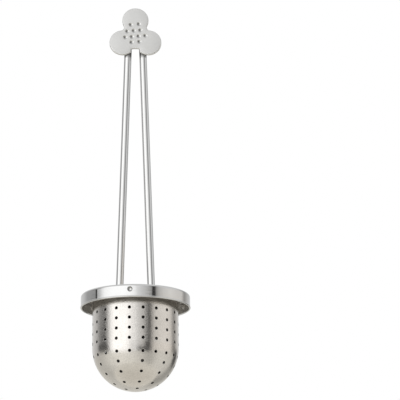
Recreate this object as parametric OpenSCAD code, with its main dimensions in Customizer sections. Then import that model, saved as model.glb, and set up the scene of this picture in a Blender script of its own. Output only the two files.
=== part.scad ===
// Mug tea infuser: a perforated strainer cup that hangs inside a shallow
// pan-shaped lid, on a handle of two round rods with a flower-shaped tag.
// Z is the axis of the lid and the strainer. The origin is the middle of the
// tag, in the plane of the two rods. The front of the tag faces -Y.

/* [Handle] */
// Height of the middle of the tag above the top of the lid
handle_h = 125.8; // [100:0.2:150]
// Diameter of each rod
rod_d = 3.5; // [3:0.1:4.5]
// Distance between the rod axes at the middle of the tag
rod_gap_top = 6.5; // [6:0.1:8]
// Distance between the rod axes at the top of the lid
rod_gap_low = 14.6; // [8:0.1:20]
// Height of the rod tops above the middle of the tag, behind the tag
rod_top = 3; // [0:0.5:4]

/* [Tag] */
// Radius of each round petal
petal_r = 6.2; // [5.8:0.1:6.4]
// Distance between the centres of the two lower petals
petal_pitch = 12.1; // [12:0.1:13]
// Height of the centre of the upper petal above the centres of the lower ones
petal_rise = 11.2; // [10.5:0.1:12]
// Thickness of the tag plate
tag_t = 1.2; // [0.8:0.1:2]
// Radius of the two upper notches between petals
notch_r = 1.6; // [1:0.1:3]
// Width of the arch cut between the two lower petals
arch_w = 4.2; // [3:0.1:5]
// Radius of the arch's two upper corners
arch_r = 1; // [0.5:0.1:1.4]
// Height of the top of the arch from the middle of the tag
arch_z = -6.8; // [-7.2:0.1:-6.4]
// Depth to which the weld flat sinks each rod into the plate's back plane
weld_flat = 0.15; // [0.05:0.01:0.3]
// Diameter of the small round dots pressed into the tag
dot_d = 2.1; // [1:0.1:2.2]
// Depth of the dots
dot_depth = 0.45; // [0.1:0.05:0.5]
// Slope of the rows of dots in degrees
dot_slope = 5; // [0:1:10]

/* [Lid] */
// Outer diameter of the lid at its bottom lip
lid_d = 50; // [46:0.5:60]
// Height of the lid
lid_h = 6; // [5.8:0.1:8]
// Thickness of the sheet metal of the lid
lid_t = 0.5; // [0.4:0.05:0.6]
// Outside radius of the rounded top edge
lid_edge_r = 1; // [0.8:0.1:1.2]
// Radius of the bead round the bottom lip
lip_r = 0.4; // [0.3:0.05:0.5]
// Distance that the bead stands out from the skirt
lip_out = 0.2; // [0.1:0.05:0.3]
// Number of dents pressed into the skirt, which hold the strainer
dents = 3; // [2:1:6]
// Angle of the first dent, from the front towards +X
dent_angle = -5.6; // [-20:0.1:20]
// Height of the dents above the bottom of the lid
dent_z = 3.6; // [3:0.05:3.7]
// Radius of the ball that presses the dents
dent_r = 1.15; // [0.8:0.05:1.25]
// Distance from the skirt's surface out to the centre of that ball
dent_out = 0.3; // [0.2:0.05:0.4]

/* [Strainer] */
// Outer diameter of the strainer cup
cup_d = 39; // [34:0.2:41]
// Depth of the straight wall below the bottom of the lid
wall_h = 18.2; // [17:0.1:25]
// Thickness of the sheet metal of the strainer
cup_t = 0.5; // [0.4:0.05:0.5]
// Outer diameter of the flat brim
brim_d = 47.4; // [45:0.1:47.5]
// Gap between the brim and the underside of the lid
brim_gap = 0.1; // [0.05:0.01:0.15]
// Radius of the bend from the wall to the brim
brim_bend_r = 1.2; // [0.8:0.1:2]
// Radius of the half-round notches that pass the dents
brim_notch_r = 2.2; // [2:0.1:3]
// Diameter of the strainer holes
hole_d = 1.3; // [0.8:0.05:1.5]
// Number of holes in each row of the straight wall
wall_holes = 20; // [12:1:24]
// Number of rows of holes in the straight wall
wall_rows = 4; // [2:1:4]
// Depth of the first row of holes below the bottom of the lid
first_row = 3.35; // [2:0.05:4]
// Distance between rows of holes in the straight wall
row_pitch = 4.55; // [3.5:0.05:4.6]
// Angle of one column of holes, from the front towards +X
hole_angle = 10.2; // [-20:0.1:20]

/* [Hidden] */
$fn = 96;
satin = "#cfcfca";
polished = "#dcdcdc";
spare = 1;
// How far the edge of each notch ends inside the petals beside it
web_lap = 0.02;

// Rows of dots from the top down: number of dots, distance between them, middle
// of the row, height
dot_rows = [[2, 3.8, -0.3, 5.25], [3, 3.1, -0.8, 2.05], [4, 3.15, -0.1, -0.85], [2, 3.65, 0, -3.6]];
// Rows of holes in the dome: angle below the dome's equator, number of holes
dome_rows = [[13.5, 20], [26.6, 10], [41.3, 10], [59.4, 9], [76, 5]];

rod_tilt = atan((rod_gap_low - rod_gap_top) / 2 / handle_h);
tag_back = -(rod_d / 2 - weld_flat);
tag_front = tag_back - tag_t;
// Centres of the petals in the plane of the tag, clockwise from the top
petals = [
    [0, petal_rise * 2 / 3],
    [petal_pitch / 2, -petal_rise / 3],
    [-petal_pitch / 2, -petal_rise / 3]
];

lid_top = -handle_h;
lid_low = lid_top - lid_h;
skirt_r = lid_d / 2 - lip_out;
dent_ball_at = skirt_r + dent_out;
dent_step = 360 / dents;

cup_r = cup_d / 2;
brim_top = lid_top - lid_t - brim_gap;
brim_low = brim_top - cup_t;
dome_z = lid_low - wall_h;

// Ball of the dot press: its radius follows from the dot's width and depth
dot_r = (dot_d * dot_d / 4 + dot_depth * dot_depth) / (2 * dot_depth);

// Moves its child from the front of the Z axis round to the angle a
module round_z(a, r, z) {
    rotate([0, 0, a])
        translate([0, -r, z])
            children();
}

// Quarter of a flat ring about the origin, turned by the angle a
module quarter_band(r_in, r_out, a) {
    rotate(a)
        intersection() {
            difference() {
                circle(r_out);
                circle(r_in);
            }
            square(r_out + spare);
        }
}

// Centre of the circle that rounds the notch after petal n and touches both petals
function notch_at(n) =
    let (
        way = petals[(n + 1) % 3] - petals[n],
        out = sqrt(pow(petal_r + notch_r, 2) - pow(norm(way) / 2, 2))
    )
    petals[n] + way / 2 + out * [-way.y, way.x] / norm(way);

// Core between the petals, with the two rounded notches under the upper one. Its
// lowest point lies in the arch.
module tag_core() {
    difference() {
        polygon([petals[0], notch_at(0), petals[1], [0, arch_z - arch_w / 2], petals[2], notch_at(2)]);
        for (n = [0, 2])
            translate(notch_at(n))
                circle(notch_r + web_lap);
    }
}

// Cutter for the arch between the lower petals, open at the bottom
module arch_cutter() {
    translate([-arch_w / 2 + arch_r, arch_z - petal_r, -spare])
        cube([arch_w - 2 * arch_r, petal_r, tag_t + 2 * spare]);
    translate([-arch_w / 2, arch_z - arch_r - petal_r, -spare])
        cube([arch_w, petal_r, tag_t + 2 * spare]);
    for (side = [-1, 1])
        translate([side * (arch_w / 2 - arch_r), arch_z - arch_r, -spare])
            cylinder(r = arch_r, h = tag_t + 2 * spare);
}

module tag_plate() {
    translate([0, tag_back, 0])
        rotate([90, 0, 0])
            difference() {
                union() {
                    linear_extrude(tag_t)
                        tag_core();
                    for (centre = petals)
                        translate(centre)
                            cylinder(r = petal_r, h = tag_t);
                }
                arch_cutter();
            }
}

module tag_dots() {
    for (row = dot_rows)
        for (i = [0:row[0] - 1]) {
            along = (i - (row[0] - 1) / 2) * row[1];
            translate([
                row[2] + along,
                tag_front - dot_r + dot_depth,
                row[3] + along * sin(dot_slope)
            ])
                sphere(dot_r, $fn = 48);
        }
}

// Flat flower-shaped plate with dots pressed into its front
module tag() {
    color(satin)
        difference() {
            tag_plate();
            tag_dots();
        }
}

// One rod, side = -1 on the left and 1 on the right. It stands on the lid and
// is flattened where it is welded to the back of the tag.
module rod(side) {
    color(polished)
        difference() {
            translate([side * rod_gap_top / 2, 0, 0])
                rotate([0, -side * rod_tilt, 0])
                    translate([0, 0, -handle_h - rod_d])
                        cylinder(d = rod_d, h = handle_h + rod_d + rod_top);
            tag_plate();
            translate([-lid_d / 2, -lid_d / 2, lid_top - 2 * rod_d])
                cube([lid_d, lid_d, 2 * rod_d]);
        }
}

module rod_left() {
    rod(-1);
}

module rod_right() {
    rod(1);
}

// Half section of the lid, with its axis on Y and its bottom at 0
module lid_section() {
    translate([0, lid_h - lid_t])
        square([skirt_r - lid_edge_r, lid_t]);
    translate([skirt_r - lid_edge_r, lid_h - lid_edge_r])
        quarter_band(lid_edge_r - lid_t, lid_edge_r, 0);
    translate([skirt_r - lid_t, lip_r])
        square([lid_t, lid_h - lid_edge_r - lip_r]);
    translate([lid_d / 2 - lip_r, lip_r])
        circle(lip_r);
}

// Shallow pan lid with a beaded lip and dents that stand in from its skirt
module lid() {
    color(polished)
        difference() {
            union() {
                translate([0, 0, lid_low])
                    rotate_extrude()
                        lid_section();
                intersection() {
                    for (i = [0:dents - 1])
                        round_z(dent_angle + i * dent_step, dent_ball_at, lid_low + dent_z)
                            sphere(dent_r + lid_t, $fn = 48);
                    translate([0, 0, lid_low])
                        cylinder(r = skirt_r - lid_t / 2, h = lid_h - lid_t / 2);
                }
            }
            for (i = [0:dents - 1])
                round_z(dent_angle + i * dent_step, dent_ball_at, lid_low + dent_z)
                    sphere(dent_r, $fn = 48);
        }
}

// Half section of the strainer, with its axis on Y and the dome's centre at 0
module cup_section() {
    bend_z = brim_low - brim_bend_r - dome_z;
    quarter_band(cup_r - cup_t, cup_r, -90);
    translate([cup_r - cup_t, 0])
        square([cup_t, bend_z]);
    translate([cup_r + brim_bend_r, bend_z])
        quarter_band(brim_bend_r, brim_bend_r + cup_t, 90);
    translate([cup_r + brim_bend_r, brim_low - dome_z])
        square([brim_d / 2 - cup_r - brim_bend_r, cup_t]);
}

// Cutter for one hole, square to the wall at the front
module hole_cutter() {
    rotate([90, 0, 0])
        cylinder(d = hole_d, h = 4 * cup_t, center = true, $fn = 24);
}

module wall_hole_cutters() {
    for (row = [0:wall_rows - 1])
        for (i = [0:wall_holes - 1])
            round_z(hole_angle + i * 360 / wall_holes, cup_r, lid_low - first_row - row * row_pitch)
                hole_cutter();
}

module dome_hole_cutters() {
    for (row = dome_rows)
        for (i = [0:row[1] - 1])
            rotate([0, 0, hole_angle + i * 360 / row[1]])
                translate([0, 0, dome_z])
                    rotate([row[0], 0, 0])
                        translate([0, -cup_r, 0])
                            hole_cutter();
}

// Perforated cup with a round bottom and a notched brim
module strainer() {
    color(satin)
        difference() {
            translate([0, 0, dome_z])
                rotate_extrude()
                    cup_section();
            wall_hole_cutters();
            dome_hole_cutters();
            for (i = [0:dents - 1])
                round_z(dent_angle + i * dent_step, brim_d / 2, brim_low - spare)
                    cylinder(r = brim_notch_r, h = cup_t + 2 * spare, $fn = 48);
        }
}

tag();
rod_left();
rod_right();
lid();
strainer();
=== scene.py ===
"""Studio scene of a mug tea infuser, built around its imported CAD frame."""
import math

import bpy
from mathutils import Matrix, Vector
from mathutils.geometry import delaunay_2d_cdt


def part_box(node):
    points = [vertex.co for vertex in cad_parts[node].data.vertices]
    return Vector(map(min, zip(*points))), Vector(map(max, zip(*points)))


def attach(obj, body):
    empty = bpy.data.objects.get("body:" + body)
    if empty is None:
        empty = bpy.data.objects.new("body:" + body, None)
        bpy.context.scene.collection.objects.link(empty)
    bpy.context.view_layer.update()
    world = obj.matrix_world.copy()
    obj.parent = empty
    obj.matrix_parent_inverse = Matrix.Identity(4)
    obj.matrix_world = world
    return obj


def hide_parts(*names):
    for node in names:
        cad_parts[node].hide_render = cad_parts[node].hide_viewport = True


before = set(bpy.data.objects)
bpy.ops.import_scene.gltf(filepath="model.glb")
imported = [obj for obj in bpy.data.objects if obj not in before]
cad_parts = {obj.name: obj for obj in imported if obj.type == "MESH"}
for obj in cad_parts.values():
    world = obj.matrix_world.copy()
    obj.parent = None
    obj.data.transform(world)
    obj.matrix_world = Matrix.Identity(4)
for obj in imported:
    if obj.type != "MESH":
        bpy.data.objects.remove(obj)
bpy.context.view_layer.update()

MM = 0.001
DEG = math.pi / 180
HANDLE = "handle_and_lid"
CUP = "strainer_cup"

# ---------------------------------------------------------------- sizes
# In metres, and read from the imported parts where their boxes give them. Angles are in degrees,
# and those called turns are about the Z axis, from the front towards +X.
lid_low, lid_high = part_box("lid")
cup_low, cup_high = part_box("strainer")
tag_low, tag_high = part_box("tag")

LID_R = lid_high.x
LID_Z = lid_low.z
LID_TOP = lid_high.z
SHEET = 0.5 * MM
# The lip is a bead that stands out from the skirt by LIP_OUT.
LIP_R = 0.4 * MM
LIP_OUT = 0.2 * MM
SKIRT_R = LID_R - LIP_OUT
LID_EDGE_R = 1.0 * MM

# Turns of the three dents, and their height above the lip's lower edge
DENT_TURNS = [-5.6 + 120 * n for n in range(3)]
DENT_Z = 3.6 * MM
# A dent is pressed by a ball whose centre stays out of the skirt by DENT_OUT.
DENT_BALL_R = 1.15 * MM
DENT_OUT = 0.3 * MM
DENT_BLEND = 0.12 * MM

CUP_R = 19.5 * MM
DOME_Z = cup_low.z + CUP_R
BRIM_TOP = cup_high.z
BRIM_R = 23.7 * MM
BRIM_BEND_R = 1.2 * MM
BRIM_NOTCH_R = 2.2 * MM
BRIM_EDGE = 0.1 * MM
HOLE_R = 0.65 * MM
HOLE_EDGE = 0.07 * MM
# Turn of the first hole of every row
HOLE_TURN = 10.2

TAG_FRONT = tag_low.y
TAG_BACK = tag_high.y
PETAL_R = 6.2 * MM
# Distance between the lower petals, and height of the upper petal above them
PETAL_PITCH = 12.1 * MM
PETAL_RISE = 11.2 * MM
# Centres of the upper and the right petal as (x, z). The left one mirrors the right one.
TOP_PETAL = (0, PETAL_RISE * 2 / 3)
SIDE_PETAL = (PETAL_PITCH / 2, -PETAL_RISE / 3)
NOTCH_R = 1.6 * MM
# Arch between the lower petals: half its width, radius of its corners, height of its top
ARCH_HALF = 2.1 * MM
ARCH_ROUND = 1.0 * MM
ARCH_TOP = -6.8 * MM
DOT_R = 1.05 * MM
DOT_DEPTH = 0.45 * MM
DOT_BLEND = 0.05 * MM
# How much each row of dots rises to the right
DOT_SLOPE = math.sin(5 * DEG)
# Rows of dots from the top down: number of dots, distance between them, middle of the
# row, height, in millimetres
DOT_ROWS = [(2, 3.8, -0.3, 5.25), (3, 3.1, -0.8, 2.05), (4, 3.15, -0.1, -0.85), (2, 3.65, 0, -3.6)]

ROD_R = 1.75 * MM
# How far the rods go on past the middle of the tag
ROD_TOP = 3 * MM
ROD_END_ROUND = 0.25 * MM
# Half the distance between the rods at the middle of the tag and on the lid
ROD_HALF_TOP = 3.25 * MM
ROD_HALF_LOW = 7.3 * MM

# Slack where the places of points are compared
CLOSE = 0.01 * MM
# Angles between faces from which the edge between them is sharp
SHARP = 50
TAG_SHARP = 40


# ---------------------------------------------------------------- mesh helpers
def spot(radius, turn, z):
    """Point at a distance from the Z axis, turned from the front towards +X."""
    return (radius * math.sin(turn), -radius * math.cos(turn), z)


def arc(centre, radius, start, end, steps):
    """Points of an arc in the half section, from one angle in degrees to another."""
    turns = [(start + (end - start) * k / steps) * DEG for k in range(steps + 1)]
    return [(centre[0] + radius * math.cos(t), centre[1] + radius * math.sin(t)) for t in turns]


def steps_between(start, end, step):
    """Evenly spaced values from start to just before end, at most step apart."""
    count = max(1, math.ceil(abs(end - start) / step - 1e-9))
    return [start + (end - start) * k / count for k in range(count)]


def away_from(dent, turn):
    """Angle in degrees from a dent to a turn, from -180 to 180."""
    return (turn - dent + 180) % 360 - 180


def soft_max(value, blend):
    """The larger of value and zero, rounded off where they meet."""
    return (value + math.hypot(value, blend)) / 2


def fade(value, start, end):
    """0 up to start and 1 from end on, or the other way round, with a smooth step between."""
    share = min(max((value - start) / (end - start), 0), 1)
    return share * share * (3 - 2 * share)


def cap_depth(distance, ball, out, blend):
    """Depth of a dent pressed by a ball whose centre is out above the surface."""
    reach = math.sqrt(max(ball * ball - distance * distance, 0)) - out
    return soft_max(reach, blend) - soft_max(-out, blend)


def make_piece(name, verts, faces, materials, sharp, body, node, finish=None, painted_shade=None):
    """One piece of the object. finish is the number of each face's material, and the last
    argument is the painted shade at each point, how much it darkens the metal, from 0 to 1."""
    mesh = bpy.data.meshes.new(name)
    mesh.from_pydata(verts, [], faces)
    mesh.update()
    mesh.shade_smooth()
    mesh.set_sharp_from_angle(angle=sharp * DEG)
    for material in materials:
        mesh.materials.append(material)
    if finish:
        mesh.polygons.foreach_set("material_index", finish)
    if painted_shade:
        mesh.attributes.new("painted_shade", "FLOAT", "POINT").data.foreach_set("value", painted_shade)
    piece = bpy.data.objects.new(name, mesh)
    bpy.context.scene.collection.objects.link(piece)
    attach(piece, body)
    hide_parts(node)


# ---------------------------------------------------------------- materials
def add(tree, kind, **sockets):
    """New node with some of its sockets set."""
    node = tree.nodes.new(kind)
    for name, value in sockets.items():
        node.inputs[name.replace("_", " ")].default_value = value
    return node


def maths(tree, operation, first, second=None):
    """Result of an operation on one or two sockets or plain numbers."""
    node = tree.nodes.new("ShaderNodeMath")
    node.operation = operation
    for socket, value in zip(node.inputs, (first, second)):
        if value is None:
            continue
        if isinstance(value, (int, float)):
            socket.default_value = value
        else:
            tree.links.new(value, socket)
    return node.outputs[0]


def stretched_noise(tree, vector, scale, detail, roughness=0.5):
    """Noise whose grain is stretched by a different scale along each axis."""
    mapping = tree.nodes.new("ShaderNodeMapping")
    mapping.inputs["Scale"].default_value = scale
    tree.links.new(vector, mapping.inputs["Vector"])
    noise = add(tree, "ShaderNodeTexNoise", Scale=1.0, Detail=detail, Roughness=roughness)
    tree.links.new(mapping.outputs[0], noise.inputs["Vector"])
    return noise.outputs[0]


def turned_vector(tree, position):
    """Radius, angle about Z and height, for metal polished on a lathe."""
    split = tree.nodes.new("ShaderNodeSeparateXYZ")
    tree.links.new(position, split.inputs[0])
    x, y, z = split.outputs
    squares = maths(tree, "ADD", maths(tree, "MULTIPLY", x, x), maths(tree, "MULTIPLY", y, y))
    join = tree.nodes.new("ShaderNodeCombineXYZ")
    tree.links.new(maths(tree, "SQRT", squares), join.inputs[0])
    tree.links.new(maths(tree, "ARCTAN2", x, maths(tree, "MULTIPLY", y, -1)), join.inputs[1])
    tree.links.new(z, join.inputs[2])
    return join.outputs[0]


def ramp_between(tree, factor, low, high, start=0.3, end=0.7):
    """Plain number that goes from low to high as the factor goes from start to end."""
    node = tree.nodes.new("ShaderNodeMapRange")
    node.clamp = True
    for name, value in (("From Min", start), ("From Max", end), ("To Min", low), ("To Max", high)):
        node.inputs[name].default_value = value
    tree.links.new(factor, node.inputs["Value"])
    return node.outputs["Result"]


def mix_colours(tree, factor, first, second):
    """Mix of two colours, each of them a socket or a plain tuple."""
    mix = tree.nodes.new("ShaderNodeMix")
    mix.data_type = "RGBA"
    for socket, value in ((mix.inputs["A"], first), (mix.inputs["B"], second)):
        if isinstance(value, tuple):
            socket.default_value = (*value, 1)
        else:
            tree.links.new(value, socket)
    tree.links.new(factor, mix.inputs["Factor"])
    return mix.outputs["Result"]


# Colour towards which painted shade darkens the steel, in the dents, the dots and on the rods under
# the tag
PAINTED_SHADE = (0.05, 0.05, 0.045)
# Scales along three axes of the noise for smudges and for slow unevenness
SMUDGES = (90, 90, 90)
WAVES = (170, 170, 110)
GRAIN_DEPTH = 0.03 * MM
LINE_DEPTH = 0.02 * MM
# How much of the range of roughness comes from the polishing lines
LINE_SHARE = 0.6


def steel(name, light, dark, roughness, lines, line_bump, grain, grain_bump, streak=0.0, waves=0.0,
          turned=True):
    """Stainless steel between two tints and two values of roughness. lines is the scale of its
    polishing lines along three axes, which are radius, angle and height on turned metal, and
    grain the scale of its fine grain. streak is how much the lines of turned metal spread its
    highlights up and down, and waves is the depth of the slow unevenness that pressing leaves.
    turned is whether the metal was polished on a lathe."""
    material = bpy.data.materials.new(name)
    material.use_nodes = True
    tree = material.node_tree
    shader = tree.nodes["Principled BSDF"]
    shader.inputs["Metallic"].default_value = 1.0
    shader.inputs["Anisotropic"].default_value = streak
    shader.inputs["Anisotropic Rotation"].default_value = 0.25
    if turned:
        tangent = tree.nodes.new("ShaderNodeTangent")
        tangent.direction_type = "RADIAL"
        tangent.axis = "Z"
        tree.links.new(tangent.outputs[0], shader.inputs["Tangent"])
    position = tree.nodes.new("ShaderNodeTexCoord").outputs["Object"]
    along = turned_vector(tree, position) if turned else position
    fine_lines = stretched_noise(tree, along, lines, 3.0)
    smudges = stretched_noise(tree, position, SMUDGES, 4.0, 0.6)
    fine_grain = stretched_noise(tree, position, (grain,) * 3, 2.0)

    mottle = ramp_between(tree, maths(tree, "ADD", smudges, fine_grain), 0.0, 1.0, 0.7, 1.3)
    tint = mix_colours(tree, mottle, dark, light)
    # Painted shade: a point attribute darkens the tint towards that colour
    painted_shade = tree.nodes.new("ShaderNodeAttribute")
    painted_shade.attribute_name = "painted_shade"
    colour = mix_colours(tree, painted_shade.outputs["Fac"], tint, PAINTED_SHADE)
    tree.links.new(colour, shader.inputs["Base Color"])

    smooth, rough = roughness
    from_smudges = ramp_between(tree, smudges, smooth, rough)
    from_lines = ramp_between(tree, fine_lines, 0.0, (rough - smooth) * LINE_SHARE)
    polish = maths(tree, "ADD", from_smudges, from_lines)
    tree.links.new(polish, shader.inputs["Roughness"])

    wave_node = add(tree, "ShaderNodeBump", Strength=1.0, Distance=waves)
    tree.links.new(stretched_noise(tree, position, WAVES, 1.0), wave_node.inputs["Height"])
    grain_node = add(tree, "ShaderNodeBump", Strength=grain_bump, Distance=GRAIN_DEPTH)
    tree.links.new(fine_grain, grain_node.inputs["Height"])
    tree.links.new(wave_node.outputs[0], grain_node.inputs["Normal"])
    line_node = add(tree, "ShaderNodeBump", Strength=line_bump, Distance=LINE_DEPTH)
    tree.links.new(fine_lines, line_node.inputs["Height"])
    tree.links.new(grain_node.outputs[0], line_node.inputs["Normal"])
    tree.links.new(line_node.outputs[0], shader.inputs["Normal"])
    return material


LID_STEEL = steel(
    "polished_lid_steel", (0.68, 0.68, 0.675), (0.64, 0.64, 0.635), (0.04, 0.06),
    lines=(2500, 2, 2500), line_bump=0.3, grain=3000, grain_bump=0.02, streak=0.4, waves=0.02 * MM,
)
LID_TOP_STEEL = steel(
    "satin_lid_top_steel", (0.69, 0.69, 0.685), (0.65, 0.65, 0.645), (0.26, 0.32),
    lines=(2500, 2, 2500), line_bump=0.3, grain=3000, grain_bump=0.05, streak=0.3, waves=0.02 * MM,
)
ROD_STEEL = steel(
    "polished_rod_steel", (0.69, 0.69, 0.685), (0.65, 0.65, 0.645), (0.03, 0.06),
    lines=(1800, 1800, 12), line_bump=0.2, grain=3000, grain_bump=0.04, turned=False,
)
CUP_STEEL = steel(
    "satin_strainer_steel", (0.78, 0.754, 0.714), (0.64, 0.616, 0.584), (0.14, 0.19),
    lines=(2200, 3, 2200), line_bump=0.35, grain=1500, grain_bump=1.0, streak=0.5, waves=0.03 * MM,
)
TAG_STEEL = steel(
    "satin_tag_steel", (0.74, 0.74, 0.73), (0.70, 0.70, 0.69), (0.44, 0.52),
    lines=(250, 250, 3500), line_bump=0.3, grain=2600, grain_bump=0.2, turned=False,
)
# Metal of the pressed dots: smoother than the tag's, with a tint a little darker, which is painted
# shade of the hollows
DOT_STEEL = steel(
    "pressed_dot_steel", (0.72, 0.72, 0.71), (0.68, 0.68, 0.67), (0.12, 0.18),
    lines=(250, 250, 3500), line_bump=0.1, grain=2600, grain_bump=0.07, turned=False,
)
# Inside of the lid: matt, with a tint darker than the outside's, which is painted shade under the lid
LID_INSIDE_PAINTED_SHADE_STEEL = steel(
    "matt_lid_inside_painted_shade_steel", (0.62, 0.61, 0.595), (0.54, 0.53, 0.515), (0.42, 0.52),
    lines=(1500, 3, 1500), line_bump=0.4, grain=1800, grain_bump=0.5, streak=0.3,
)
# Inside of the strainer: matt, with a tint far darker than the outside's, which is painted shade of
# the cup's inside
CUP_INSIDE_PAINTED_SHADE_STEEL = steel(
    "matt_strainer_inside_painted_shade_steel", (0.46, 0.45, 0.43), (0.39, 0.38, 0.36), (0.42, 0.52),
    lines=(1500, 3, 1500), line_bump=0.4, grain=1800, grain_bump=0.5, streak=0.3,
)
# Near-black steel for the walls of the holes: painted shade where the holes are dark inside
HOLE_SHADE_STEEL = steel(
    "painted_shade_hole_steel", (0.035, 0.034, 0.032), (0.025, 0.024, 0.022), (0.45, 0.55),
    lines=(1500, 3, 1500), line_bump=0.4, grain=1800, grain_bump=0.5,
)


# ---------------------------------------------------------------- lid
# Distance between points of the lid along its flat top, and down and round its skirt
LID_STEP = 2 * MM
SKIRT_STEP = 0.12 * MM
# Angle on both sides of a dent in which the columns of points are close together, and the
# angles between columns there and elsewhere
NEAR_DENT = 7
DENT_STEP = 0.3
TURN_STEP = 2
# Painted shade on a dent's walls: how dark at their middle, and what is added at the upper
# left, which faces away from the light, and taken off at the lower right
DENT_DARK = 0.42
DENT_LEAN = 0.2
# Shares of a dent's radius over which the painted shade starts, and over which it ends
DENT_DARK_IN = (0.5, 0.75)
DENT_DARK_OUT = (1.08, 0.92)
# Keeps the lean of the painted shade small in the middle of a dent
DENT_MIDDLE = 0.1 * MM


def lid_section():
    """Closed loop round the lid's sheet metal in the half section, from the top centre, and
    the numbers of its points before the rounded edge and before the inside."""
    top, under = LID_TOP, LID_TOP - SHEET
    bend = (SKIRT_R - LID_EDGE_R, LID_TOP - LID_EDGE_R)
    inner_r = SKIRT_R - SHEET
    bead = (LID_R - LIP_R, LID_Z + LIP_R)
    bead_out = math.degrees(math.acos((SKIRT_R - bead[0]) / LIP_R))
    bead_in = 360 - math.degrees(math.acos((inner_r - bead[0]) / LIP_R))
    bead_top = bead[1] + LIP_R * math.sin(bead_out * DEG)
    inner_low = bead[1] - LIP_R * math.sin(bead_in * DEG)
    section = [(r, top) for r in steps_between(0, bend[0], LID_STEP)]
    flat = len(section)
    section += arc(bend, LID_EDGE_R, 90, 0, 10)
    section += [(SKIRT_R, z) for z in steps_between(bend[1], bead_top, SKIRT_STEP)[1:]]
    section += arc(bead, LIP_R, bead_out, bead_in - 360, 18)
    outside = len(section)
    section += [(inner_r, z) for z in steps_between(inner_low, bend[1], SKIRT_STEP)[1:]]
    section += arc(bend, LID_EDGE_R - SHEET, 0, 90, 6)
    section += [(r, under) for r in steps_between(bend[0], 0, LID_STEP)[1:]]
    section.append((0, under))
    return section, flat, outside


def lid_turns():
    """Angles round the lid in degrees, closer together at the dents."""
    turns = []
    for dent in DENT_TURNS:
        start, end = dent - NEAR_DENT, dent + NEAR_DENT
        turns += steps_between(start, end, DENT_STEP)
        turns += steps_between(end, start + 360 / len(DENT_TURNS), TURN_STEP)
    return turns


def pressed_in(radius, turn, z, inner):
    """Distance that the dents push a point of the skirt inwards."""
    behind = SHEET if inner else 0
    depth = 0
    for dent in DENT_TURNS:
        sideways = radius * DEG * away_from(dent, turn)
        distance = math.hypot(sideways, z - LID_Z - DENT_Z)
        depth = max(depth, cap_depth(distance, DENT_BALL_R + behind, DENT_OUT + behind, DENT_BLEND))
    return depth


def dent_painted_shade(radius, turn, z):
    """Painted shade on the steep walls of the dents, most on the upper left, away from the light."""
    open_r = math.sqrt(DENT_BALL_R**2 - DENT_OUT**2)
    dark = 0
    for dent in DENT_TURNS:
        sideways = radius * DEG * away_from(dent, turn)
        upwards = z - LID_Z - DENT_Z
        share = math.hypot(sideways, upwards) / open_r
        lean = (upwards - sideways) / math.hypot(sideways, upwards, DENT_MIDDLE)
        ring = fade(share, *DENT_DARK_IN) * fade(share, *DENT_DARK_OUT)
        dark = max(dark, ring * (DENT_DARK + DENT_LEAN * lean))
    return dark


def on_skirt(r, z):
    """Whether a point of the section is on the upright part of the lid, where the dents are."""
    return r > SKIRT_R - SHEET - CLOSE and LID_Z + LIP_R < z < LID_TOP - LID_EDGE_R / 2


def make_lid():
    section, flat, outside = lid_section()
    turns = lid_turns()
    columns, rows = len(turns), len(section)
    verts = [(0, 0, section[0][1]), (0, 0, section[-1][1])]
    faces, finish, painted_shade = [], [], [0, 0]
    for turn in turns:
        for r, z in section[1:-1]:
            inner = r < SKIRT_R - SHEET / 2
            push = pressed_in(r, turn, z, inner) if on_skirt(r, z) else 0
            verts.append(spot(r - push, turn * DEG, z))
            painted_shade.append(dent_painted_shade(r, turn, z) if on_skirt(r, z) and not inner else 0)
    ring = rows - 2
    for i in range(columns):
        here, there = 2 + i * ring, 2 + (i + 1) % columns * ring
        faces.append((0, here, there))
        faces += [(here + j, here + j + 1, there + j + 1, there + j) for j in range(ring - 1)]
        faces.append((1, there + ring - 1, here + ring - 1))
        finish += [2] * flat + [0] * (outside - flat) + [1] * (rows - 1 - outside)
    steels = [LID_STEEL, LID_INSIDE_PAINTED_SHADE_STEEL, LID_TOP_STEEL]
    make_piece("lid_pan", verts, faces, steels, SHARP, HANDLE, "lid", finish, painted_shade)


# ---------------------------------------------------------------- strainer
# Distances along the cup's outer section from the middle of the bottom: to the start of the
# wall, of the bend and of the flat brim, and to the brim's edge
WALL_S = CUP_R * math.pi / 2
BEND_Z = BRIM_TOP - SHEET - BRIM_BEND_R
BEND_S = WALL_S + BEND_Z - DOME_Z
BRIM_S = BEND_S + BRIM_BEND_R * math.pi / 2
EDGE_S = BRIM_S + BRIM_R - CUP_R - BRIM_BEND_R
# Depth of the first row of holes below the lid, and distance between the rows of the wall
FIRST_ROW = 3.35 * MM
ROW_PITCH = 4.55 * MM
# Rows of holes in the dome: angle below its equator, number of holes
DOME_ROWS = [(13.5, 20), (26.6, 10), (41.3, 10), (59.4, 9), (76, 5)]
WALL_ROWS = 4
WALL_HOLES = 20


def edge_radius(turn):
    """Radius of the brim's edge, less in its three half-round notches."""
    for dent in DENT_TURNS:
        away = away_from(dent, turn) * DEG
        sideways = BRIM_R * math.sin(away)
        if abs(away) < math.pi / 2 and abs(sideways) < BRIM_NOTCH_R:
            return BRIM_R * math.cos(away) - math.sqrt(BRIM_NOTCH_R**2 - sideways**2)
    return BRIM_R


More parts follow.
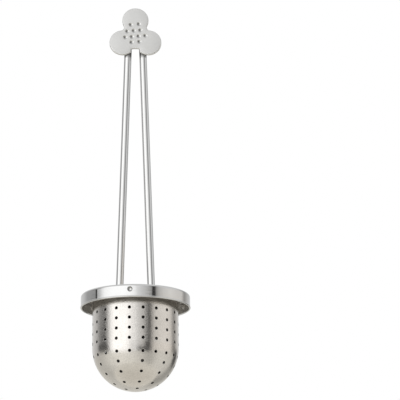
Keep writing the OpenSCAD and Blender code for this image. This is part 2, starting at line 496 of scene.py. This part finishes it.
def cup_point(turn, s, depth):
    """Point of the cup at s along its outer section from the middle of the bottom, and at
    depth into its sheet metal."""
    if s < WALL_S:
        lean = s / CUP_R
        normal = (math.sin(lean), -math.cos(lean))
        r, z = CUP_R * normal[0], DOME_Z + CUP_R * normal[1]
    elif s < BEND_S:
        normal = (1, 0)
        r, z = CUP_R, DOME_Z + s - WALL_S
    elif s < BRIM_S:
        lean = (s - BEND_S) / BRIM_BEND_R
        normal = (math.cos(lean), -math.sin(lean))
        r = CUP_R + BRIM_BEND_R * (1 - normal[0])
        z = BEND_Z - BRIM_BEND_R * normal[1]
    else:
        normal = (0, -1)
        share = (s - BRIM_S) / (EDGE_S - BRIM_S)
        r = CUP_R + BRIM_BEND_R + share * (edge_radius(turn) - CUP_R - BRIM_BEND_R)
        z = BRIM_TOP - SHEET
    return spot(r - depth * normal[0], turn * DEG, z - depth * normal[1])


def hole_rows():
    """Each row of holes: s of its middle, radius of the cup there, number of holes."""
    rows = []
    for lean, count in DOME_ROWS:
        rows.append((CUP_R * (90 - lean) * DEG, CUP_R * math.cos(lean * DEG), count))
    for n in range(WALL_ROWS):
        rows.append((WALL_S + LID_Z - FIRST_ROW - n * ROW_PITCH - DOME_Z, CUP_R, WALL_HOLES))
    return sorted(rows)


# Block of cells round a hole: half its height, the number of its rows, and how much of a
# column each half of its width may fall short of half its height
BLOCK_HALF = 1.05 * MM
BLOCK_ROWS = 6
COLUMN_SLACK = 0.3
# Distances between rows of points in the cup, in its bend and in its brim
CUP_STEP = 0.7 * MM
BEND_STEP = 0.2 * MM
BRIM_STEP = 0.5 * MM
# Rings of points of each hole, from the outside of the cup in: radius, depth into the metal
FLAT_RING_R = HOLE_R + 0.22 * MM
HOLE_RINGS = [
    (FLAT_RING_R, 0), (HOLE_R + HOLE_EDGE, 0), (HOLE_R, HOLE_EDGE),
    (HOLE_R, SHEET - HOLE_EDGE), (HOLE_R + HOLE_EDGE, SHEET), (FLAT_RING_R, SHEET),
]
# Number of the steel between each ring and the next, where the edge of the block on the
# outside is the first ring and on the inside the last one
# Steel 2, on the walls of the holes, is near black: painted shade of the holes
HOLE_STEELS = (0, 0, 2, 2, 2, 1, 1)


def block_edge(half):
    """Corners of a block of cells as (column, row), once round it, where half is half the
    number of its columns and column 0 is its middle."""
    edge = [(i, 0) for i in range(-half, half)]
    edge += [(half, j) for j in range(BLOCK_ROWS)]
    edge += [(i, BLOCK_ROWS) for i in range(half, -half, -1)]
    return edge + [(-half, j) for j in range(BLOCK_ROWS, 0, -1)]


def make_strainer():
    """The cup is a grid of one-degree columns. A block of cells round each hole is
    replaced by rings that run from the block's edge to the round hole. Side 0 is the outside
    of the sheet metal and side 1 the inside."""
    levels, blocks = [], []
    for s, radius, count in hole_rows():
        start = levels[-1] if levels else 0
        levels += steps_between(start, s - BLOCK_HALF, CUP_STEP)[1 if levels else 0:]
        half = math.ceil(BLOCK_HALF / radius / DEG - COLUMN_SLACK)
        low = len(levels)
        levels += [s + BLOCK_HALF * (2 * k / BLOCK_ROWS - 1) for k in range(BLOCK_ROWS + 1)]
        blocks += [(low, half, round(360 / count * n), s, radius) for n in range(count)]
    levels += steps_between(levels[-1], BEND_S, CUP_STEP)[1:]
    levels += steps_between(BEND_S, BRIM_S, BEND_STEP)
    brim_level = len(levels)
    levels += steps_between(BRIM_S, EDGE_S, BRIM_STEP)
    levels.append(EDGE_S - BRIM_EDGE)

    verts, faces, finish, index = [], [], [], {}
    replaced = set()
    for low, half, column, _, _ in blocks:
        for i in range(-half, half):
            replaced |= {((column + i) % 360, low + j) for j in range(BLOCK_ROWS)}

    def corner(i, j, side):
        i = 0 if j == 0 else i % 360
        if (i, j, side) not in index:
            index[i, j, side] = len(verts)
            verts.append(cup_point(HOLE_TURN + i, levels[j], side * SHEET))
        return index[i, j, side]

    def cell(i, j, side):
        places = [(i, j), (i + 1, j), (i + 1, j + 1), (i, j + 1)]
        loop = [corner(*place, side) for place in places]
        if side:
            loop.reverse()
        # At the middle of the bottom two corners are the same, which leaves a triangle.
        faces.append(tuple(dict.fromkeys(loop)))
        finish.append(side if j < brim_level else 0)

    for side in (0, 1):
        for j in range(len(levels) - 1):
            for i in range(360):
                if (i, j) not in replaced:
                    cell(i, j, side)

    def hole_ring(edge, half, column, s, around, radius, depth):
        ring = []
        for i, j in edge:
            lean = math.atan2((j - BLOCK_ROWS / 2) / (BLOCK_ROWS / 2), i / half)
            turn = HOLE_TURN + column + radius * math.cos(lean) / around / DEG
            ring.append(len(verts))
            verts.append(cup_point(turn, s + radius * math.sin(lean), depth))
        return ring

    for low, half, column, s, around in blocks:
        edge = block_edge(half)
        rings = [[corner(column + i, low + j, 0) for i, j in edge]]
        rings += [hole_ring(edge, half, column, s, around, *ring) for ring in HOLE_RINGS]
        rings.append([corner(column + i, low + j, 1) for i, j in edge])
        for outer, inner, number in zip(rings, rings[1:], HOLE_STEELS):
            for k in range(len(edge)):
                n = (k + 1) % len(edge)
                faces.append((outer[k], outer[n], inner[n], inner[k]))
                finish.append(number)

    last = len(levels) - 1
    rims = [[corner(i, last, 0) for i in range(360)]]
    for z in (BRIM_TOP - SHEET + BRIM_EDGE, BRIM_TOP - BRIM_EDGE):
        rims.append([len(verts) + i for i in range(360)])
        turns = [HOLE_TURN + i for i in range(360)]
        verts += [spot(edge_radius(turn), turn * DEG, z) for turn in turns]
    rims.append([corner(i, last, 1) for i in range(360)])
    for i in range(360):
        n = (i + 1) % 360
        faces += [(a[i], a[n], b[n], b[i]) for a, b in zip(rims, rims[1:])]
        finish += [0, 0, 0]
    steels = [CUP_STEEL, CUP_INSIDE_PAINTED_SHADE_STEEL, HOLE_SHADE_STEEL]
    name, slot, node = "strainer_cup_shell", "strainer_steel", "strainer"
    make_piece(name, verts, faces, steels, SHARP, CUP, node, finish)


# ---------------------------------------------------------------- tag
def tag_outline(inset):
    """Outline of the three petals, clockwise from the front, as (x, z) points. The left half
    mirrors the right one, which ends in the arch between the lower petals."""
    notch = notch_centre()
    top_turn = heading(TOP_PETAL, notch)
    side_turn = heading(SIDE_PETAL, notch)
    petal_r = PETAL_R - inset
    arch_turn = 180 + math.degrees(math.asin((SIDE_PETAL[0] - ARCH_HALF - inset) / petal_r))
    corner = (ARCH_HALF - ARCH_ROUND, ARCH_TOP - ARCH_ROUND)
    half = swing(TOP_PETAL, petal_r, 0, top_turn, 2 * ARC_STEPS)[:-1]
    half += swing(notch, NOTCH_R + inset, top_turn - 180, side_turn - 180, ARC_STEPS)[:-1]
    half += swing(SIDE_PETAL, petal_r, side_turn, arch_turn, 4 * ARC_STEPS)
    half += swing(corner, ARCH_ROUND + inset, 90, 0, ARC_STEPS // 2)
    return half + [(-x, z) for x, z in reversed(half[1:])]


def notch_centre():
    """Centre of the circle that rounds the notch between the upper and the right petal and
    touches them both."""
    start, end = Vector(TOP_PETAL), Vector(SIDE_PETAL)
    way = end - start
    out = math.sqrt((PETAL_R + NOTCH_R) ** 2 - (way.length / 2) ** 2)
    return (start + end) / 2 + Vector((-way.y, way.x)) / way.length * out


def heading(start, end):
    """Angle in degrees from +Z towards +X of the way from one point to another."""
    return math.degrees(math.atan2(end[0] - start[0], end[1] - start[1]))


def swing(centre, radius, start, end, steps):
    """Points of an arc of the tag, from one heading in degrees to another."""
    turns = [(start + (end - start) * k / steps) * DEG for k in range(steps + 1)]
    return [(centre[0] + radius * math.sin(t), centre[1] + radius * math.cos(t)) for t in turns]


def dot_centres():
    """Middles of the dots, row by row from the top, as (x, z) points."""
    centres = []
    for count, pitch, middle, height in DOT_ROWS:
        for i in range(count):
            along = (i - (count - 1) / 2) * pitch
            centres.append(((middle + along) * MM, (height + along * DOT_SLOPE) * MM))
    return centres


# Steps of the arcs of the tag's outline, and of the circles round a dot
ARC_STEPS = 14
DOT_STEPS = 24
# Radii of the circles round a dot, as shares of its radius
DOT_CIRCLES = (0.3, 0.55, 0.75, 0.9, 1.0, 1.1, 1.2)
# Painted shade in a dot: how dark, the middle of the shaded patch, and the distances from it
# over which the shade starts
DOT_DARK = 0.6
DOT_DARK_X, DOT_DARK_Z = -0.2 * DOT_R, 0.15 * DOT_R
DOT_DARK_IN = (0.85 * DOT_R, 0.45 * DOT_R)
# Depth from which the metal of a dot is smooth
PRESSED = 0.04 * MM
# For delaunay_2d_cdt: to keep only the triangles inside the outline, and how close together,
# in millimetres, two points are one
KEEP_INSIDE = 1
SAME_POINT = 1e-5
# Round edges of the tag in millimetres: how far in from the outline, and how far from the
# front or the back face
FRONT_EDGE = [(0.5, 0), (0.35, 0.03), (0.2, 0.1), (0.08, 0.22), (0, 0.4)]
BACK_EDGE = [(0, 0.15), (0.04, 0.04), (0.15, 0)]


def dot_painted_shade(x, z, dots):
    """Painted shade in the dots, most a little to the upper left of their middles, away from the
    light.
    """
    near = min(math.hypot(x - c[0] - DOT_DARK_X, z - c[1] - DOT_DARK_Z) for c in dots)
    return DOT_DARK * fade(near, *DOT_DARK_IN)


def make_tag():
    """The front and the back are filled with triangles, and rings of points round the edge
    join them. The triangles of the front follow the circles round its dots."""
    dots = dot_centres()
    ball = (DOT_R**2 + DOT_DEPTH**2) / (2 * DOT_DEPTH)
    flat = tag_outline(FRONT_EDGE[0][0] * MM)
    corners = len(flat)
    loops = [(k, (k + 1) % corners) for k in range(corners)]
    for centre in dots:
        flat.append(centre)
        for share in DOT_CIRCLES:
            first = len(flat)
            flat += swing(centre, DOT_R * share, 0, 360, DOT_STEPS)[:-1]
            loops += [(first + k, first + (k + 1) % DOT_STEPS) for k in range(DOT_STEPS)]
    points = [Vector(p) / MM for p in flat]
    outline = [list(range(corners))]
    filled = delaunay_2d_cdt(points, loops, outline, KEEP_INSIDE, SAME_POINT)
    found, _, triangles, origins, _, _ = filled

    verts, faces, painted_shade = [], [], []
    for p in found:
        x, z = p.x * MM, p.y * MM
        near = min(math.hypot(x - c[0], z - c[1]) for c in dots)
        depth = cap_depth(near, ball, ball - DOT_DEPTH, DOT_BLEND)
        verts.append((x, TAG_FRONT + depth, z))
        painted_shade.append(dot_painted_shade(x, z, dots))
    faces += [facing(t, verts, -1) for t in triangles]
    finish = [int(max(verts[k][1] for k in t) > TAG_FRONT + PRESSED) for t in triangles]

    place = {number: k for k, numbers in enumerate(origins) for number in numbers}
    rings = [[place[number] for number in range(corners)]]
    edges = [(inset * MM, TAG_FRONT + depth * MM) for inset, depth in FRONT_EDGE[1:]]
    edges += [(inset * MM, TAG_BACK - depth * MM) for inset, depth in BACK_EDGE]
    for inset, y in edges:
        first = len(verts)
        rings.append(list(range(first, first + corners)))
        verts += [(x, y, z) for x, z in tag_outline(inset)]
    for outer, inner in zip(rings, rings[1:]):
        for k in range(corners):
            n = (k + 1) % corners
            faces.append((outer[k], outer[n], inner[n], inner[k]))
    back = rings[-1]
    ring = [Vector((verts[k][0], verts[k][2])) / MM for k in back]
    filled = delaunay_2d_cdt(ring, [], outline, KEEP_INSIDE, SAME_POINT)
    _, _, triangles, origins, _, _ = filled
    faces += [facing([back[origins[k][0]] for k in t], verts, 1) for t in triangles]
    finish += [0] * (len(faces) - len(finish))
    painted_shade += [0] * (len(verts) - len(painted_shade))
    steels = [TAG_STEEL, DOT_STEEL]
    make_piece("flower_tag", verts, faces, steels, TAG_SHARP, HANDLE, "tag", finish, painted_shade)


def facing(face, verts, side):
    """The face with its corners in the order that turns it to -Y or +Y."""
    a, b, c = (Vector(verts[k]) for k in face[:3])
    turned = (b - a).cross(c - a).y * side < 0
    return tuple(reversed(face)) if turned else tuple(face)


# ---------------------------------------------------------------- rods
# Weld fillet at the foot of each rod, in millimetres: how far out, and how far up
WELD = [(0.35, 0), (0.2, 0.08), (0.08, 0.2), (0.02, 0.35), (0, 0.5)]
ROD_SIDES = 64
ROD_STEP = 1 * MM
# Painted contact shadow on the rods just under the tag: how dark it is, the heights over which
# it starts going up and going down, and the places along Y over which it starts going forwards
JOINT_DARK = 0.85
JOINT_LOW = (tag_low.z - 1.2 * MM, tag_low.z + 0.4 * MM)
JOINT_HIGH = (tag_low.z + 3.4 * MM, tag_low.z + 2.2 * MM)
JOINT_FRONT = (0.2 * ROD_R, -0.4 * ROD_R)


def joint_painted_shadow(point):
    """Painted contact shadow at a point of a rod, on its front near the tag's lower edge."""
    along = fade(point.z, *JOINT_LOW) * fade(point.z, *JOINT_HIGH)
    return JOINT_DARK * fade(point.y, *JOINT_FRONT) * along


def make_rod(side, name, node):
    """One rod from its weld on the lid to its rounded end, flat where it lies on the tag."""
    slant = (ROD_HALF_LOW - ROD_HALF_TOP) / LID_TOP
    length = math.hypot(1, slant)
    axis = Vector((side * slant, 0, 1)) / length
    across = axis.cross(Vector((0, 1, 0)))
    foot = Vector((side * ROD_HALF_LOW, 0, LID_TOP))
    middle = Vector((side * ROD_HALF_TOP, 0, 0))
    end = (middle - foot).length + ROD_TOP - ROD_END_ROUND
    levels = [(ROD_R + r * MM, d * MM) for r, d in WELD]
    levels += [(ROD_R, d) for d in steps_between(WELD[-1][1] * MM, end, ROD_STEP)[1:]]
    levels += [(ROD_R - ROD_END_ROUND + r, end + d) for r, d in arc((0, 0), ROD_END_ROUND, 0, 90, 5)]
    verts, faces, painted_shade = [], [], []
    for radius, distance in levels:
        for k in range(ROD_SIDES):
            t = 2 * math.pi * k / ROD_SIDES
            p = foot + across * radius * math.cos(t) + Vector((0, radius * math.sin(t), 0))
            p += axis * (distance if distance else (LID_TOP - p.z) / axis.z)
            if p.z > tag_low.z:
                p.y = max(p.y, TAG_BACK)
            verts.append(tuple(p))
            painted_shade.append(joint_painted_shadow(p))
    last = (len(levels) - 1) * ROD_SIDES
    for a in range(0, last, ROD_SIDES):
        b = a + ROD_SIDES
        for k in range(ROD_SIDES):
            n = (k + 1) % ROD_SIDES
            faces.append((a + k, b + k, b + n, a + n))
    faces.append(tuple(range(ROD_SIDES)))
    faces.append(tuple(last + k for k in reversed(range(ROD_SIDES))))
    make_piece(name, verts, faces, [ROD_STEEL], SHARP, HANDLE, node, painted_shade=painted_shade)


make_lid()
make_strainer()
make_tag()
make_rod(-1, "handle_rod_left", "rod_left")
make_rod(1, "handle_rod_right", "rod_right")


# ---------------------------------------------------------------- studio
# What the steel reflects, all round, as pairs of the angle from the front towards +X in
# degrees and the brightness. Seen from the camera, the lid's skirt, which is a mirror, shows
# only the narrow EDGE_BAND. The rods show HIGH_BAND, above it, the strainer's wall shows
# ALL_ELSE, below it, and the strainer's dome shows LOW_BAND as well, the light of the floor.
EDGE_BAND = [
    (-180, 0.80), (-139, 0.69), (-122, 0.46), (-97, 0.43), (-92.4, 0.38), (-91.4, 0.03), (-88, 0.03),
    (-87, 0.75), (-80, 0.88), (-74, 1.15), (-68, 1.35), (-50, 1.48), (-12, 1.47), (-4, 1.38),
    (1, 1.17), (6, 0.98), (14, 0.80), (26, 0.67), (34, 0.52), (35.8, 0.03), (41.9, 0.03),
    (43.4, 0.35), (49, 0.60), (62, 0.83), (78, 0.95), (95, 0.86), (114, 0.82), (120, 0.55),
    (126, 0.40), (140, 0.60), (180, 0.80),
]
ALL_ELSE = [
    (-180, 0.80), (-147, 0.75), (-129, 0.62), (-114, 0.46), (-106, 0.22), (-101, 0.12), (-84, 0.10),
    (-78, 0.55), (-72, 0.95), (-66, 1.28), (-58, 1.50), (-24, 1.48), (-17, 1.18), (-6, 0.90),
    (0, 1.00), (6, 0.75), (16, 0.68), (22, 0.50), (27, 0.22), (31, 0.08), (36, 0.08), (40, 0.25),
    (45, 0.50), (52, 0.75), (60, 0.82), (90, 0.90), (106, 0.82), (115, 0.38), (124, 0.22),
    (132, 0.45), (145, 0.70), (180, 0.80),
]
HIGH_BAND = [
    (-180, 0.80), (-147, 0.75), (-129, 0.62), (-114, 0.48), (-104, 0.40), (-84, 0.40), (-78, 0.58),
    (-72, 0.95), (-66, 1.28), (-58, 1.50), (-20, 1.48), (-8, 1.30), (2, 0.95), (14, 0.80), (26, 0.64),
    (33, 0.36), (36, 0.15), (43, 0.15), (47, 0.45), (56, 0.78), (90, 0.88), (104, 0.78), (114, 0.48),
    (126, 0.40), (136, 0.50), (147, 0.70), (180, 0.80),
]
LOW_BAND = [
    (-180, 0.70), (-120, 0.57), (-100, 0.67), (-76, 0.84), (-36, 0.95), (-10, 0.86), (0, 0.81),
    (20, 0.71), (35, 0.58), (46, 0.54), (58, 0.63), (74, 0.75), (98, 0.74), (112, 0.70), (122, 0.64),
    (129, 0.46), (135, 0.40), (148, 0.40), (156, 0.50), (170, 0.66), (180, 0.70),
]
# Heights are in degrees above the horizon. Where there are four, the band starts over the
# first two and ends over the last two.
EDGE_BAND_HEIGHTS = (12.0, 12.5, 13.8, 14.4)
# Heights over which HIGH_BAND takes over from ALL_ELSE
HIGH_HEIGHTS = (14.0, 15.0)
# Even light overhead, and the sines of the heights over which it takes over
OVERHEAD = (0.80, 0.80, 0.80)
OVERHEAD_SINES = (0.40, 0.65)
# Tints of the light: none, on the warm side, and of LOW_BAND
NEUTRAL = (1.0, 1.0, 1.0)
WARM = (1.0, 0.955, 0.90)
LOW_WARM = (1.02, 1.0, 0.94)
# Angles over which the light turns warm and neutral again, and heights over which that ends
WARM_TURNS = (5, 45, 120, 155)
WARM_HEIGHTS = (13.1, 13.35)
# Dark feet of the panels: the angles round the sky and the heights at the front between which
# each one shows. LOW_BAND takes over below LOW_HEIGHTS. The sines of these heights rise by
# SIDE_RISE from the front to the sides, and as much again to the back.
FOOT = (0.10, 0.10, 0.10)
FEET = [
    ((-120, -110, -80, -70), (-18, -14, -7, -3)),
    ((0, 12, 36, 44), (-18, -14, -7, -3)),
    ((124, 130, 143, 150), (-34, -28, -15, -11)),
]
LOW_HEIGHTS = (-21, -15)
SIDE_RISE = 0.19


def radians(angles):
    return [angle * DEG for angle in angles]


def sines(heights):
    return [math.sin(height * DEG) for height in heights]


def multiply_colours(tree, first, second):
    """Product of two colours, each of them a socket or a plain tuple."""
    product = tree.nodes.new("ShaderNodeVectorMath")
    product.operation = "MULTIPLY"
    for socket, value in zip(product.inputs, (first, second)):
        if isinstance(value, tuple):
            socket.default_value = value
        else:
            tree.links.new(value, socket)
    return product.outputs[0]


def sky_ramp(tree, share, levels):
    """Brightness all round, with share going from 0 to 1 round the sky."""
    ramp = tree.nodes.new("ShaderNodeValToRGB")
    tree.links.new(share, ramp.inputs[0])
    stops = ramp.color_ramp.elements
    while len(stops) < len(levels):
        stops.new(0.5)
    for stop, (angle, level) in zip(stops, levels):
        stop.position = (angle + 180) / 360
        stop.color = (level, level, level, 1)
    return ramp.outputs[0]


def plateau(tree, value, rise_start, rise_end, fall_start, fall_end):
    """1 from rise_end to fall_start, falling to 0 on both sides."""
    rise = ramp_between(tree, value, 0.0, 1.0, rise_start, rise_end)
    fall = ramp_between(tree, value, 1.0, 0.0, fall_start, fall_end)
    return maths(tree, "MULTIPLY", rise, fall)


def make_surroundings():
    """World that lights the steel and shows in it like a studio, and is white to the camera."""
    world = bpy.data.worlds.new("studio")
    bpy.context.scene.world = world
    world.use_nodes = True
    tree = world.node_tree
    tree.nodes.clear()
    split = tree.nodes.new("ShaderNodeSeparateXYZ")
    tree.links.new(tree.nodes.new("ShaderNodeTexCoord").outputs["Generated"], split.inputs[0])
    x, y, z = split.outputs
    turn = maths(tree, "ARCTAN2", x, maths(tree, "MULTIPLY", y, -1))
    share = ramp_between(tree, turn, 0.0, 1.0, -math.pi, math.pi)
    high = ramp_between(tree, z, 0.0, 1.0, *sines(HIGH_HEIGHTS))
    rest = mix_colours(tree, high, sky_ramp(tree, share, ALL_ELSE), sky_ramp(tree, share, HIGH_BAND))
    band = plateau(tree, z, *sines(EDGE_BAND_HEIGHTS))
    level = mix_colours(tree, band, rest, sky_ramp(tree, share, EDGE_BAND))
    warm_side = plateau(tree, turn, *radians(WARM_TURNS))
    warm_part = ramp_between(tree, z, 1.0, 0.0, *sines(WARM_HEIGHTS))
    tint = mix_colours(tree, maths(tree, "MULTIPLY", warm_side, warm_part), NEUTRAL, WARM)
    around = multiply_colours(tree, level, tint)

    from_front = maths(tree, "MULTIPLY", maths(tree, "ADD", y, 1), -SIDE_RISE)
    height = maths(tree, "ADD", z, from_front)
    low = ramp_between(tree, height, 1.0, 0.0, *sines(LOW_HEIGHTS))
    low_light = multiply_colours(tree, sky_ramp(tree, share, LOW_BAND), LOW_WARM)
    colour = mix_colours(tree, low, around, low_light)
    for angles, heights in FEET:
        sideways = plateau(tree, turn, *radians(angles))
        upwards = plateau(tree, height, *sines(heights))
        colour = mix_colours(tree, maths(tree, "MULTIPLY", sideways, upwards), colour, FOOT)
    overhead = ramp_between(tree, z, 0.0, 1.0, *OVERHEAD_SINES)
    colour = mix_colours(tree, overhead, colour, OVERHEAD)

    lights = tree.nodes.new("ShaderNodeBackground")
    tree.links.new(colour, lights.inputs["Color"])
    backdrop = tree.nodes.new("ShaderNodeBackground")
    backdrop.inputs["Color"].default_value = (1, 1, 1, 1)
    choose = tree.nodes.new("ShaderNodeMixShader")
    tree.links.new(tree.nodes.new("ShaderNodeLightPath").outputs["Is Camera Ray"], choose.inputs[0])
    tree.links.new(lights.outputs[0], choose.inputs[1])
    tree.links.new(backdrop.outputs[0], choose.inputs[2])
    output = tree.nodes.new("ShaderNodeOutputWorld")
    tree.links.new(choose.outputs[0], output.inputs["Surface"])


FLOOR_R = 1.3
FLOOR_Z = -1.5
FLOOR_SIDES = 96
FLOOR_COLOUR = (0.74, 0.71, 0.645)
# Glow in the middle and at the rim, and the power by which it grows in between
FLOOR_GLOW = (0.10, 0.095, 0.085)
RIM_GLOW = (0.22, 0.22, 0.21)
GLOW_POWER = 1.5


def make_floor():
    """Pale round floor, far enough down to stay out of the way of a camera below. It glows a
    little, most at its rim, as if lit by lamps out of sight."""
    mesh = bpy.data.meshes.new("floor")
    rim = [spot(FLOOR_R, 2 * math.pi * k / FLOOR_SIDES, 0) for k in range(FLOOR_SIDES)]
    mesh.from_pydata(rim, [], [tuple(range(FLOOR_SIDES))])
    material = bpy.data.materials.new("pale_floor")
    material.use_nodes = True
    tree = material.node_tree
    shader = tree.nodes["Principled BSDF"]
    shader.inputs["Base Color"].default_value = (*FLOOR_COLOUR, 1)
    shader.inputs["Roughness"].default_value = 0.9
    shader.inputs["Specular IOR Level"].default_value = 0.0
    shader.inputs["Emission Strength"].default_value = 1.0
    length = tree.nodes.new("ShaderNodeVectorMath")
    length.operation = "LENGTH"
    tree.links.new(tree.nodes.new("ShaderNodeTexCoord").outputs["Object"], length.inputs[0])
    outwards = ramp_between(tree, length.outputs["Value"], 0.0, 1.0, 0.0, FLOOR_R)
    outwards = maths(tree, "POWER", outwards, GLOW_POWER)
    glow = mix_colours(tree, outwards, FLOOR_GLOW, RIM_GLOW)
    tree.links.new(glow, shader.inputs["Emission Color"])
    mesh.materials.append(material)
    floor = bpy.data.objects.new("floor", mesh)
    floor.location.z = FLOOR_Z
    bpy.context.scene.collection.objects.link(floor)


LENS = 156.0
SENSOR = 36.0
CAMERA_DISTANCE = 0.8
CAMERA_RISE = 16.06 * DEG
AIM_ABOVE_LID = 51.4 * MM
# Sideways shift of the picture, as a share of its width
SHIFT = 0.1614


def make_camera():
    """Camera a little below the lid, looking up, with the infuser left of the middle."""
    aim = Vector((0, 0, LID_Z + AIM_ABOVE_LID))
    forward = Vector((0, math.cos(CAMERA_RISE), math.sin(CAMERA_RISE)))
    data = bpy.data.cameras.new("camera")
    data.lens = LENS
    data.sensor_width = SENSOR
    data.sensor_fit = "HORIZONTAL"
    data.shift_x = SHIFT
    data.clip_start = 0.01
    camera = bpy.data.objects.new("camera", data)
    bpy.context.scene.collection.objects.link(camera)
    camera.location = aim - forward * CAMERA_DISTANCE
    camera.rotation_euler = forward.to_track_quat("-Z", "Y").to_euler()
    bpy.context.scene.camera = camera


make_surroundings()
make_floor()
make_camera()
bpy.context.scene.view_settings.view_transform = "Standard"
